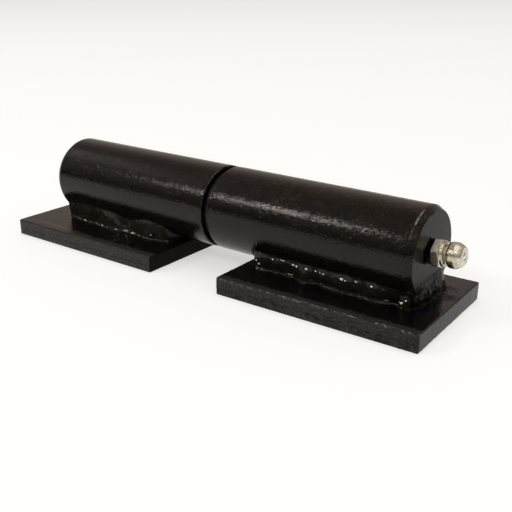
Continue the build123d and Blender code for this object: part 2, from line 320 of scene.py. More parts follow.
# ------------------------------------------------------------ welds
def bspline(C, k):
    """Uniform cubic B-spline through-ish control points C (..., m, 2), clamped, k samples."""
    m = C.shape[-2]
    C = np.concatenate([C[..., :1, :], C[..., :1, :], C, C[..., -1:, :], C[..., -1:, :]], -2)
    t = np.linspace(0, m + 1 - 1e-6, k)
    i = np.floor(t).astype(int)
    f = t - i
    b = [(1 - f) ** 3 / 6, (3 * f ** 3 - 6 * f ** 2 + 4) / 6, (-3 * f ** 3 + 3 * f ** 2 + 3 * f + 1) / 6, f ** 3 / 6]
    return sum(b[j][:, None] * C[..., i + j, :] for j in range(4))


def scallop(ph):
    """Overlapping round ripples with narrow valleys, 0 to 1."""
    f = ph - np.floor(ph)
    return np.sqrt(np.maximum(0, 1 - (2 * f - 1) ** 2))


def interp(stations, x):
    """Smooth (monotone-ish cubic) values of the station columns at x."""
    s = np.array(stations, float)
    out = []
    for c in range(1, s.shape[1]):
        xs, ys = s[:, 0], s[:, c]
        m = np.gradient(ys, xs)
        i = np.clip(np.searchsorted(xs, x) - 1, 0, len(xs) - 2)
        h = xs[i + 1] - xs[i]
        t = np.clip((x - xs[i]) / h, 0, 1)
        out.append((2 * t ** 3 - 3 * t ** 2 + 1) * ys[i] + (t ** 3 - 2 * t ** 2 + t) * h * m[i]
                   + (-2 * t ** 3 + 3 * t ** 2) * ys[i + 1] + (t ** 3 - t ** 2) * h * m[i + 1])
    return out


ZP = -(AX[2] - PLATE_T)            # plate's top, from the hinge axis


def side_bead(side, stations, seed, cap0=2.2, cap1=2.2, pitch=1.7, ripple=0.12, lump=0.35, slant=3.5, pools=(), blobs=(),
              wrinkled=None, shelf=(0.95, 0.45)):
    """A fillet bead between plate and barrel as a closed grid of (x, y, z), from the hinge axis.
    Stations: x, toe on plate, toe angle on barrel, bulge, height of the bulge (0 to 1).
    pools: (x, half width, swell) of the places where the bead puddled. blobs: (x, v, swell, size).
    wrinkled: function of x giving how strongly the ripples show."""
    x0, x1 = stations[0][0], stations[-1][0]
    xs = np.arange(x0, x1 + 1e-6, 0.18)
    toe, ang, bulge, where = interp(stations, xs)
    P1 = np.stack([xs, 0 * xs, 0 * xs], 1)
    toe = toe + 0.20 * fbm(P1, 2.8, 3, seed + 1)
    ang = np.radians(ang + 1.2 * fbm(P1, 3.1, 3, seed + 2))
    bulge = bulge + lump * 0.5 * fbm(P1, 4.0, 2, seed + 3)
    pool = 0 * xs
    for px, pw, ps in pools:
        pool = np.maximum(pool, ps * np.maximum(0, 1 - ((xs - px) / pw) ** 2) ** 0.7)
    bulge = bulge + pool
    tb = np.stack([(R - 0.02) * np.cos(ang), -(R - 0.02) * np.sin(ang)], 1)
    tp = np.stack([toe, 0 * toe + ZP], 1)
    d = tb - tp
    nrm = np.stack([d[:, 1], -d[:, 0]], 1)
    nrm = nrm / np.linalg.norm(nrm, axis=1, keepdims=True)     # outwards from the face

    def at(f, out):
        return tp + d * np.asarray(f)[..., None] + nrm * np.asarray(out)[..., None]
    one = np.ones(len(xs))
    foot = np.clip(1.0 + 0.8 * fbm(P1, 1.7, 2, seed + 4), 0.45, 1.6)
    C = [tp + np.stack([1.05 * one, -0.12 * one], 1), tp + np.stack([0.66 * one, -0.01 * one], 1),
         tp + np.stack([0.42 * one, 0.12 * foot], 1), tp + np.stack([0.22 * one, 0.46 * foot], 1),
         at(0.15 * one, 0.40 * bulge), at(where * 0.60, bulge * 0.80), at(where, bulge * 1.15), at(where + (1 - where) * 0.50, bulge * shelf[0]),
         at(where + (1 - where) * 0.88, bulge * shelf[1])]
    a2 = ang - 0.012
    C.append(np.stack([(R + 0.05) * np.cos(a2), -(R + 0.05) * np.sin(a2)], 1))
    a3 = ang - 0.05
    C.append(np.stack([(R - 0.12) * np.cos(a3), -(R - 0.12) * np.sin(a3)], 1))
    C = np.stack(C, 1)
    K = 42
    S = bspline(C, K)                                # (nx, K, 2)
    v = np.linspace(0, 1, K)[None, :]
    win = smooth(0.05, 0.24, v) * smooth(1.0, 0.84, v)
    tang = np.gradient(S, axis=1)
    n2 = np.stack([tang[..., 1], -tang[..., 0]], -1)
    n2 = n2 / np.maximum(np.linalg.norm(n2, axis=-1, keepdims=True), 1e-9)
    XX = np.repeat(xs[:, None], K, 1)
    G = np.stack([XX, S[..., 0], S[..., 1]], -1).reshape(-1, 3)
    warp = 0.5 * fbm(G, 5.0, 2, seed + 5).reshape(XX.shape)
    ph = (XX + slant * v - 1.6 * (v - 0.5) ** 2 + warp * 1.6) / pitch
    patch = smooth(-0.20, 0.35, fbm(G * (1, 0.4, 0.4), 6.0, 2, seed + 6)).reshape(XX.shape)
    if wrinkled is not None:
        patch = patch * 0.4 + wrinkled(xs)[:, None]
    h = ripple * (scallop(ph) - 0.8) * patch
    h = h + 0.07 * fbm(G, 1.4, 3, seed + 7).reshape(XX.shape) + 0.35 * lump * fbm(G, 3.0, 2, seed + 8).reshape(XX.shape)
    for bx, bv, bs, bw in blobs:
        h = h + bs * np.exp(-((XX - bx) / bw) ** 2 - ((v - bv) * 8.0 / bw) ** 2)
    S = S + n2 * (h * win)[..., None]
    # rounded ends: the section draws back towards the root
    root = np.array([3.2, ZP + 0.25])
    e0 = np.clip((xs - x0) / max(cap0, 1e-6), 0, 1) if cap0 else one
    e1 = np.clip((x1 - xs) / max(cap1, 1e-6), 0, 1) if cap1 else one
    sc = np.sqrt(np.maximum(0.0, 1 - (1 - e0) ** 2)) * np.sqrt(np.maximum(0.0, 1 - (1 - e1) ** 2))
    sc = np.maximum(sc, 0.05)
    S = root + (S - root) * sc[:, None, None]
    # hidden back of the bead, inside the barrel and the plate
    back = []
    for f in (0.0, 0.35, 0.7, 1.0):
        a4 = ang * (1 - f) + math.radians(76) * f - 0.05 * (1 - f)
        back.append(np.stack([(R - 0.5) * np.cos(a4), -(R - 0.5) * np.sin(a4)], 1))
    back.append(np.stack([2.6 * one, (ZP - 0.4) * one], 1))
    back.append(np.stack([toe * 0.6, (ZP - 0.4) * one], 1))
    back.append(np.stack([toe + 0.6, (ZP - 0.4) * one], 1))
    B = np.stack(back, 1)
    B = root + (B - root) * sc[:, None, None]
    L = np.concatenate([S, B], 1)
    n, m = L.shape[:2]
    V = np.stack([AX[0] + np.repeat(xs, m), AX[1] + side * L[..., 0].ravel(), AX[2] + L[..., 1].ravel()], 1)
    F = []
    for i in range(n - 1):
        for j in range(m):
            j2 = (j + 1) % m
            q = (i * m + j, (i + 1) * m + j, (i + 1) * m + j2, i * m + j2)
            F.append(q if side > 0 else q[::-1])
    c0, c1 = len(V), len(V) + 1
    V = np.concatenate([V, V[:m].mean(0, keepdims=True), V[(n - 1) * m:].mean(0, keepdims=True)])
    for j in range(m):
        j2 = (j + 1) % m
        F.append((c0, j, j2) if side > 0 else (c0, j2, j))
        F.append((c1, (n - 1) * m + j2, (n - 1) * m + j) if side > 0 else (c1, (n - 1) * m + j, (n - 1) * m + j2))
    return V, F


def end_bead(stations, seed, pitch=1.8, ripple=0.13, blobs=()):
    """The bead under the nipple end. Stations: y from the axis, plate toe's x, top toe's height, top toe's x, bulge."""
    ys = np.arange(stations[0][0], stations[-1][0] + 1e-6, 0.18)
    xt, zt, xi, bulge = interp(stations, ys)
    P1 = np.stack([0 * ys, ys, 0 * ys], 1)
    xt = xt + 0.18 * fbm(P1, 2.4, 3, seed + 1)
    zt = zt + 0.22 * fbm(P1, 2.0, 3, seed + 2)
    one = np.ones(len(ys))
    tp, tb = np.stack([xt, ZP + 0 * xt], 1), np.stack([xi, ZP + zt], 1)
    d = tb - tp
    nrm = np.stack([d[:, 1], -d[:, 0]], 1)
    nrm = nrm / np.maximum(np.linalg.norm(nrm, axis=1, keepdims=True), 1e-9)

    def at(f, out):
        return tp + d * f + nrm * np.asarray(out)[..., None]
    C = np.stack([tp + [0.8, -0.10], tp + [0.42, 0.0], tp + [0.12, 0.14], at(0.14, 0.7 * bulge), at(0.30, bulge),
                  at(0.46, bulge * 0.8), at(0.64, bulge * 0.25), at(0.84, bulge * 0.02), tb + [0.03, -0.05], tb + [-0.15, 0.28]], 1)
    K = 40
    S = bspline(C, K)
    v = np.linspace(0, 1, K)[None, :]
    win = smooth(0.05, 0.20, v) * smooth(0.95, 0.55, v)
    tang = np.gradient(S, axis=1)
    n2 = np.stack([tang[..., 1], -tang[..., 0]], -1)
    n2 = n2 / np.maximum(np.linalg.norm(n2, axis=-1, keepdims=True), 1e-9)
    YY = np.repeat(ys[:, None], K, 1)
    G = np.stack([S[..., 0], YY, S[..., 1]], -1).reshape(-1, 3)
    ph = (YY + 1.6 * (v - 0.4) ** 2 + 0.6 * fbm(G, 4.0, 2, seed + 5).reshape(YY.shape)) / pitch
    h = ripple * (scallop(ph) - 0.8) + (0.16 * fbm(G, 1.5, 3, seed + 7) + 0.30 * fbm(G, 2.3, 2, seed + 8)).reshape(YY.shape) * smooth(5.0, 3.0, YY)
    for by, bv, bs, bw in blobs:
        h = h + bs * np.exp(-((YY - by) / bw) ** 2 - ((v - bv) * 7.0 / (0.6 * bw)) ** 2)
    S = S + n2 * (h * win)[..., None]
    # rounded ends: the section draws back towards the root
    e = np.clip(np.minimum((ys - ys[0]) / 2.4, (ys[-1] - ys) / 1.6), 0, 1)
    sc = np.maximum(np.sqrt(1 - (1 - e) ** 2), 0.06)[:, None, None]
    root = np.array([62.8, ZP - 0.1])
    S = root + (S - root) * sc
    B = np.stack([np.stack([62.0 * one, ZP + zt * 0.9], 1), np.stack([61.6 * one, ZP + zt * 0.4], 1),
                  np.stack([61.6 * one, (ZP - 0.4) * one], 1), np.stack([xt * 0.5 + 31, (ZP - 0.4) * one], 1),
                  np.stack([xt + 0.7, (ZP - 0.4) * one], 1)], 1)
    B = root + (B - root) * sc
    L = np.concatenate([S, B], 1)
    n, m = L.shape[:2]
    V = np.stack([AX[0] + L[..., 0].ravel(), AX[1] + np.repeat(ys, m), AX[2] + L[..., 1].ravel()], 1)
    F = []
    for i in range(n - 1):
        for j in range(m):
            j2 = (j + 1) % m
            F.append((i * m + j, i * m + j2, (i + 1) * m + j2, (i + 1) * m + j))
    c0, c1 = len(V), len(V) + 1
    V = np.concatenate([V, V[:m].mean(0, keepdims=True), V[(n - 1) * m:].mean(0, keepdims=True)])
    for j in range(m):
        j2 = (j + 1) % m
        F.append((c0, j2, j))
        F.append((c1, (n - 1) * m + j, (n - 1) * m + j2))
    return V, F


def drops(places, seed):
    """Spatter: small flattened balls sitting on a surface. places: centre (x, y, z), radius."""
    out = []
    for k, (x, y, z, r) in enumerate(places):
        nu, nv = 14, 8
        V = [(x, y, z - r)]
        for i in range(1, nv):
            t = math.pi * i / nv
            for j in range(nu):
                u = 2 * math.pi * j / nu
                V.append((x + r * math.sin(t) * math.cos(u), y + r * math.sin(t) * math.sin(u), z - r * math.cos(t) * 0.8))
        V.append((x, y, z + r * 0.8))
        V = np.array(V) + AX
        F = []
        for j in range(nu):
            F.append((0, 1 + (j + 1) % nu, 1 + j))
            F.append((len(V) - 1, 1 + (nv - 2) * nu + j, 1 + (nv - 2) * nu + (j + 1) % nu))
            for i in range(nv - 2):
                q = 1 + i * nu
                F.append((q + j, q + (j + 1) % nu, q + nu + (j + 1) % nu, q + nu + j))
        out.append((V, F))
    return out


def flattened(co, facets):
    """Small smooth flats where the enamel lay in the ripples. facets: x, height over the plate, half length, half width.
    They face forwards and 33 degrees up, and turn a little along the hinge."""
    for x, z, rx, rt in facets:
        near = (np.abs(co[:, 0] - AX[0] - x) < 0.35) & (np.abs(co[:, 2] - PLATE_T - z) < 0.22) & (co[:, 1] < AX[1] - 5)
        if not near.any():
            continue
        c = co[near][np.argmin(co[near][:, 1])]
        n = np.array([0.05 - 0.0021 * x, -0.832, 0.552])
        n = n / np.linalg.norm(n)
        d = co - c
        q = d @ n + 0.02
        t = d - q[:, None] * n
        dt = np.sqrt(np.maximum(0, (t ** 2).sum(1) - t[:, 0] ** 2))
        w = smooth(1.25, 0.85, np.hypot(t[:, 0] / rx, dt / rt)) * (np.abs(q) < 1.0)
        co = co - n * (q * w)[:, None]
    return co


def fused(name, parts, voxel, seed, relax=3, facets=()):
    """The beads of one weld run, fused to one skin and relaxed."""
    V, F, base = [], [], 0
    for v, f in parts:
        V.append(v)
        F += [tuple(i + base for i in q) for q in f]
        base += len(v)
    rough = make(name + "_rough", np.concatenate(V), F, angle=None)
    recalc(rough)
    mod = rough.modifiers.new("fuse", "REMESH")
    mod.mode = "VOXEL"
    mod.voxel_size = voxel * MM
    dg = bpy.context.evaluated_depsgraph_get()
    me = bpy.data.meshes.new_from_object(rough.evaluated_get(dg))
    old = rough.data
    bpy.data.objects.remove(rough)
    bpy.data.meshes.remove(old)
    n = len(me.vertices)
    co = np.zeros(n * 3, np.float32)
    me.vertices.foreach_get("co", co)
    co = co.reshape(-1, 3).astype(float) / MM
    ed = np.zeros(len(me.edges) * 2, np.int32)
    me.edges.foreach_get("vertices", ed)
    ed = ed.reshape(-1, 2)
    deg = np.zeros(n)
    np.add.at(deg, ed[:, 0], 1)
    np.add.at(deg, ed[:, 1], 1)
    for k in range(relax):
        for lam in (0.55, -0.50):
            acc = np.zeros_like(co)
            np.add.at(acc, ed[:, 0], co[ed[:, 1]])
            np.add.at(acc, ed[:, 1], co[ed[:, 0]])
            co = co + lam * (acc / deg[:, None] - co)
    me.vertices.foreach_set("co", (co * MM).astype(np.float32).ravel())
    me.update()
    no = np.zeros(n * 3, np.float32)
    me.vertices.foreach_get("normal", no)
    no = no.reshape(-1, 3)
    co = co + no * (0.030 * fbm(co, 0.8, 2, seed + 91))[:, None]
    co = flattened(co, facets)
    me.vertices.foreach_set("co", (co * MM).astype(np.float32).ravel())
    me.name = name
    me.update()
    me.shade_smooth()
    ob = bpy.data.objects.new(name, me)
    bpy.context.scene.collection.objects.link(ob)
    return ob


# x, toe on plate, toe angle on barrel, bulge, bulge height
pin_front = [(-65.0, 8.8, 40, 0.15, 0.6), (-60.0, 9.4, 36, 0.11, 0.6), (-54.0, 9.9, 34, 0.11, 0.6), (-49.0, 10.0, 33, 0.11, 0.6), (-45.0, 10.3, 34, 0.11, 0.6),
             (-41.5, 10.5, 36, 0.12, 0.6), (-39.0, 10.4, 40, 0.16, 0.55), (-36.8, 9.8, 46, 0.24, 0.55), (-35.0, 9.6, 47, 0.24, 0.6), (-32.0, 9.7, 39, 0.18, 0.6),
             (-28.0, 10.1, 34, 0.18, 0.65), (-24.0, 9.6, 32.5, 0.18, 0.65), (-21.0, 9.2, 35, 0.18, 0.6), (-19.0, 8.8, 38, 0.18, 0.55), (-17.2, 8.1, 43, 0.18, 0.5)]
pin_back = [(-64.0, 10.2, 40, 0.7, 0.5), (-55.0, 11.2, 37, 0.9, 0.5), (-45.0, 11.8, 35, 1.0, 0.5), (-36.0, 11.0, 38, 0.9, 0.5),
            (-27.0, 11.5, 37, 1.0, 0.5), (-18.5, 9.6, 46, 0.6, 0.5)]
socket_front = [(15.6, 9.0, 38, 0.30, 0.6), (19.0, 9.2, 37.5, 0.35, 0.60), (22.5, 8.5, 38, 0.30, 0.64), (26.3, 8.2, 38, 0.30, 0.64), (29.0, 8.2, 38, 0.30, 0.64),
                (31.5, 9.3, 38.5, 0.26, 0.62), (34.0, 10.3, 39, 0.24, 0.62), (35.6, 8.8, 39, 0.28, 0.60), (40.0, 8.7, 39, 0.30, 0.60), (46.0, 9.3, 38, 0.28, 0.58),
                (50.3, 8.9, 38, 0.28, 0.56), (55.6, 9.0, 39, 0.25, 0.56), (60.4, 7.0, 40, 0.25, 0.55), (63.0, 6.3, 40, 0.2, 0.55), (65.6, 5.4, 42, 0.2, 0.5)]
socket_back = [(16.4, 9.0, 46, 0.7, 0.5), (26.0, 10.8, 41, 0.9, 0.5), (37.0, 10.4, 42, 0.9, 0.5), (48.0, 11.2, 40, 1.0, 0.5),
               (57.0, 11.0, 40, 0.9, 0.5), (65.0, 11.4, 39, 0.8, 0.5)]
# y, plate toe's x, height of the top toe, its x, bulge
socket_end = [(-9.4, 64.4, 6.0, 64.6, 0.10), (-8.6, 64.9, 6.4, 65.9, 0.15), (-6.5, 65.6, 6.2, 66.02, 0.22), (-4.0, 66.2, 6.0, 66.02, 0.26), (-1.5, 66.6, 6.0, 66.02, 0.30),
              (1.0, 66.8, 6.3, 66.02, 0.30), (2.8, 67.0, 6.9, 66.02, 0.24), (4.6, 67.2, 7.2, 66.05, 0.10), (6.4, 67.3, 7.0, 66.05, 0.05), (8.2, 67.1, 6.2, 65.9, 0.1),
              (10.2, 66.5, 5.0, 65.0, 0.2), (12.0, 65.2, 3.6, 64.0, 0.3)]
pools_s = [(20.5, 2.2, 0.15), (25.2, 3.3, 0.30), (30.0, 3.0, 0.30), (35.0, 1.7, 0.32), (39.0, 2.1, 0.36), (43.0, 1.8, 0.15), (46.4, 2.3, 0.42),
           (50.2, 1.6, 0.32), (54.4, 1.7, 0.30), (58.6, 1.9, 0.15)]
blobs_s = [(17.2, 0.30, 0.35, 0.8), (18.8, 0.20, 0.35, 0.9), (26.3, 0.62, 0.16, 1.2), (33.9, 0.14, 0.20, 1.0), (52.0, 0.20, 0.22, 1.8), (57.5, 0.16, 0.18, 1.8),
           (61.2, 0.30, 0.30, 0.9), (64.0, 0.35, 0.30, 1.0)]
blobs_e = [(-7.4, 0.40, 0.35, 0.9), (-4.8, 0.28, 0.35, 1.1), (-1.6, 0.46, 0.55, 1.0), (1.0, 0.26, 0.50, 0.8), (2.6, 0.50, 0.45, 0.7), (4.6, 0.20, 0.25, 1.0)]
facets_s = [(23.2, 4.7, 1.08, 0.41), (24.8, 4.9, 0.94, 0.32), (26.6, 5.0, 1.22, 0.38), (28.4, 4.9, 1.08, 0.32), (30.2, 4.7, 1.22, 0.49), (31.6, 4.5, 0.68, 0.43),
            (34.9, 4.4, 0.74, 0.52), (37.4, 4.5, 0.54, 0.43), (38.8, 4.4, 0.61, 0.49), (40.2, 4.3, 0.74, 0.49), (42.0, 4.3, 0.47, 0.32),
            (45.6, 4.4, 1.01, 0.61), (47.2, 4.2, 0.54, 0.38), (50.0, 4.6, 0.68, 0.52), (54.3, 4.5, 0.65, 0.46), (58.2, 4.2, 0.47, 0.29),
            (18.0, 1.7, 0.68, 0.43), (17.0, 2.6, 0.54, 0.36), (19.6, 0.6, 0.99, 0.23), (23.6, 0.6, 1.54, 0.16), (28.0, 0.6, 1.65, 0.17), (32.0, 0.6, 1.32, 0.18),
            (35.6, 0.7, 0.88, 0.23), (39.0, 0.6, 1.43, 0.16), (42.6, 0.6, 1.32, 0.18), (46.5, 0.6, 1.32, 0.14), (50.5, 0.6, 1.21, 0.18),
            (54.6, 0.6, 1.43, 0.16), (58.4, 0.7, 0.99, 0.21), (62.6, 1.8, 0.81, 0.49), (64.2, 2.4, 0.61, 0.43)]

pin_front_weld = fused("pin_front_weld_bead",
                       [side_bead(-1, pin_front, 11, cap0=1.0, cap1=1.2, pitch=2.3, ripple=0.05, lump=0.12, slant=5.0, shelf=(1.05, 0.62),
                                  pools=[(-56.5, 8.5, 0.04), (-44.5, 7.5, 0.06), (-26.5, 8.0, 0.12)],
                                  blobs=[(-24.0, 0.40, 0.14, 1.1), (-21.0, 0.20, 0.25, 0.9), (-33.0, 0.10, 0.15, 1.5), (-47.0, 0.12, 0.12, 1.5)])]
                       + drops([(-34.5, -14.4, ZP + 0.1, 0.42), (-26.5, -19.0, ZP + 0.1, 0.36), (-30.5, -12.8, ZP + 0.1, 0.30), (-24.2, -12.2, ZP + 0.1, 0.34)], 5),
                       0.17, 1, facets=[(-61.5, 0.5, 1.43, 0.25), (-58.6, 0.5, 1.32, 0.23), (-55.6, 0.5, 1.43, 0.30), (-52.4, 0.5, 1.32, 0.23),
                                        (-49.4, 0.5, 1.43, 0.28), (-46.6, 0.5, 1.10, 0.34), (-44.0, 0.5, 0.99, 0.34), (-35.6, 0.6, 1.21, 0.37),
                                        (-32.8, 0.6, 1.32, 0.39), (-29.6, 0.5, 0.99, 0.28), (-24.4, 1.3, 0.61, 0.46), (-18.4, 0.6, 0.55, 0.30),
                                        (-35.6, 4.2, 1.08, 0.32), (-20.2, 5.2, 2.16, 0.26)])
pin_back_weld = fused("pin_back_weld_bead", [side_bead(1, pin_back, 23, pitch=1.6, ripple=0.16, lump=0.35)], 0.24, 2)
socket_weld = fused("socket_weld_bead", [side_bead(-1, socket_front, 37, cap0=1.2, cap1=0.8, pitch=1.9, ripple=0.15, lump=0.26, pools=pools_s, blobs=blobs_s,
                                                   wrinkled=lambda x: 0.9 * smooth(22.5, 18.5, x) + 0.25),
                                         side_bead(1, socket_back, 41, cap1=1.2, pitch=1.6, ripple=0.16, lump=0.35),
                                         end_bead(socket_end, 53, ripple=0.08, blobs=blobs_e)]
                     + drops([(61.8, -8.6, ZP + 0.1, 0.46), (62.9, -9.6, ZP + 0.1, 0.38), (63.6, -11.4, ZP + 0.1, 0.34), (60.4, -12.2, ZP + 0.1, 0.30)], 7), 0.20, 3, facets=facets_s)


# ------------------------------------------------------------ grease nipple
def nipple_skin():
    """The nipple as rings along its own axis: shank, hexagon with turned chamfers, neck, head, and the grease way through it."""
    lo, hi = box_mm("nipple_body")
    tilt = math.radians(6.2)
    base = np.array([AX[0] + X_OUT, AX[1], AX[2] + 0.25])
    ax = np.array([math.cos(tilt), 0, math.sin(tilt)])
    e1, e2 = np.array([0.0, 1.0, 0.0]), np.array([-math.sin(tilt), 0, math.cos(tilt)])
    prof = fill([(-5.5, 0.9, None), (-5.5, 2.5, 0.4), (-5.0, 3.0, 0.3), (-0.1, 3.0, 0.5), (0.20, 2.75, 0.2), (0.80, 2.75, 0.1), (0.84, 3.50, 0.12),
                 (1.10, 4.04, 0.10), (1.18, 4.13, 0.10), (2.62, 4.13, 0.12), (2.74, 4.06, 0.10), (3.04, 3.52, 0.10), (3.10, 3.36, 0.10), (3.72, 3.26, 0.12), (3.88, 3.10, 0.10),
                 (4.02, 2.46, 0.10), (4.14, 2.32, 0.10), (4.34, 2.36, 0.10), (4.56, 2.80, 0.10), (4.86, 3.20, 0.10), (5.16, 3.36, 0.10), (5.50, 3.41, 0.10),
                 (6.62, 3.40, 0.10), (6.80, 3.36, 0.10), (7.70, 2.98, 0.10), (8.22, 2.62, 0.10), (8.46, 2.42, 0.08), (8.56, 2.26, 0.08), (8.58, 2.02, 0.10),
                 (8.55, 1.10, 0.12), (8.48, 0.97, 0.10), (8.30, 0.97, 0.15), (7.50, 1.40, 0.20), (-5.0, 1.40, 0.8), (-5.0, 0.9, 0.3), (-5.5, 0.9, 0.3)], 0.2)[:-1]
    around = 180
    a = np.arange(around) / around * 2 * math.pi
    n = len(prof)
    S, Rr = np.repeat(prof[:, 0], around), np.repeat(prof[:, 1], around)
    A = np.tile(a, n)
    sector = (A - math.radians(9) + math.pi / 6) % (math.pi / 3) - math.pi / 6
    flat = 3.5 / np.cos(sector)
    zone = (S > 0.82) & (S < 3.08) & (Rr > 3.38)
    k = 45.0
    soft = np.minimum(Rr, flat) - np.log1p(np.exp(-k * np.abs(Rr - flat))) / k
    Rr = np.where(zone, np.minimum(soft, Rr), Rr)
    P = np.stack([S, Rr * np.cos(A), Rr * np.sin(A)], 1)
    out = (S > 0.3) & (Rr > 1.8)
    pits = np.maximum(0, fbm(P, 0.7, 2, 71) - 0.25)
    Rr = Rr + np.where(out, 0.007 * fbm(P, 0.5, 2, 70) + 0.007 * fbm(P, 1.8, 2, 72) - 0.04 * pits, 0)
    V = base + S[:, None] * ax + (Rr * np.cos(A))[:, None] * e1 + (Rr * np.sin(A))[:, None] * e2
    F = []
    for i in range(n):
        i2 = (i + 1) % n
        for q in range(around):
            q2 = (q + 1) % around
            F.append((i * around + q, i * around + q2, i2 * around + q2, i2 * around + q))
    ob = make("grease_nipple_body", V, F, angle=35)
    recalc(ob)
    return ob


nipple_body = nipple_skin()


# ------------------------------------------------------------ materials
def material(name):
    m = bpy.data.materials.new(name)
    m.use_nodes = True
    nt = m.node_tree
    for x in list(nt.nodes):
        if x.type != "OUTPUT_MATERIAL":
            nt.nodes.remove(x)
    out = nt.nodes["Material Output"]
    b = nt.nodes.new("ShaderNodeBsdfPrincipled")
    nt.links.new(b.outputs[0], out.inputs["Surface"])
    co = nt.nodes.new("ShaderNodeTexCoord").outputs["Object"]
    return m, nt, b, co


def nz(nt, co, size_mm, detail=3.0, rough=0.55, stretch=(1, 1, 1), distort=0.0, offset=(0, 0, 0)):
    """A noise texture whose features are size_mm across, output 0 to 1."""
    mp = nt.nodes.new("ShaderNodeMapping")
    k = 1000.0 / size_mm
    mp.inputs["Scale"].default_value = tuple(k * s for s in stretch)
    mp.inputs["Location"].default_value = offset
    nt.links.new(co, mp.inputs["Vector"])
    t = nt.nodes.new("ShaderNodeTexNoise")
    t.inputs["Scale"].default_value = 1.0
    t.inputs["Detail"].default_value = detail
    t.inputs["Roughness"].default_value = rough
    t.inputs["Distortion"].default_value = distort
    nt.links.new(mp.outputs[0], t.inputs["Vector"])
    return t.outputs["Fac"]


def ramp(nt, fac, stops):
    r = nt.nodes.new("ShaderNodeValToRGB")
    e = r.color_ramp.elements
    while len(e) < len(stops):
        e.new(0.5)
    for el, (pos, col) in zip(e, stops):
        el.position = pos
        el.color = (*col, 1) if len(col) == 3 else (col[0], col[0], col[0], 1)
    nt.links.new(fac, r.inputs[0])
    return r.outputs[0]


def rng(nt, fac, a, b, c, d):
    r = nt.nodes.new("ShaderNodeMapRange")
    for i, x in enumerate((a, b, c, d)):
        r.inputs[1 + i].default_value = x
    nt.links.new(fac, r.inputs[0])
    return r.outputs[0]


def mix(nt, fac, a, b, kind="MIX"):
    x = nt.nodes.new("ShaderNodeMix")
    x.data_type = "RGBA"
    x.blend_type = kind
    for s, val in ((x.inputs[0], fac), (x.inputs[6], a), (x.inputs[7], b)):
        if isinstance(val, (int, float)):
            s.default_value = val
        elif isinstance(val, tuple):
            s.default_value = (*val, 1)
        else:
            nt.links.new(val, s)
    return x.outputs[2]


def calc(nt, op, a, b=None):
    x = nt.nodes.new("ShaderNodeMath")
    x.operation = op
    for s, val in zip(x.inputs, (a, b)):
        if val is None:
            continue
        if isinstance(val, (int, float)):
            s.default_value = val
        else:
            nt.links.new(val, s)
    return x.outputs[0]


def bump(nt, height, dist_mm, strength=1.0, under=None):
    x = nt.nodes.new("ShaderNodeBump")
    x.inputs["Strength"].default_value = strength
    x.inputs["Distance"].default_value = dist_mm * MM
    nt.links.new(height, x.inputs["Height"])
    if under is not None:
        nt.links.new(under, x.inputs["Normal"])
    return x.outputs[0]


def along(nt, co, direction):
    """Distance of a point along a direction, in mm."""
    x = nt.nodes.new("ShaderNodeVectorMath")
    x.operation = "DOT_PRODUCT"
    nt.links.new(co, x.inputs[0])
    x.inputs[1].default_value = tuple(v * 1000.0 for v in direction)
    return x.outputs["Value"]


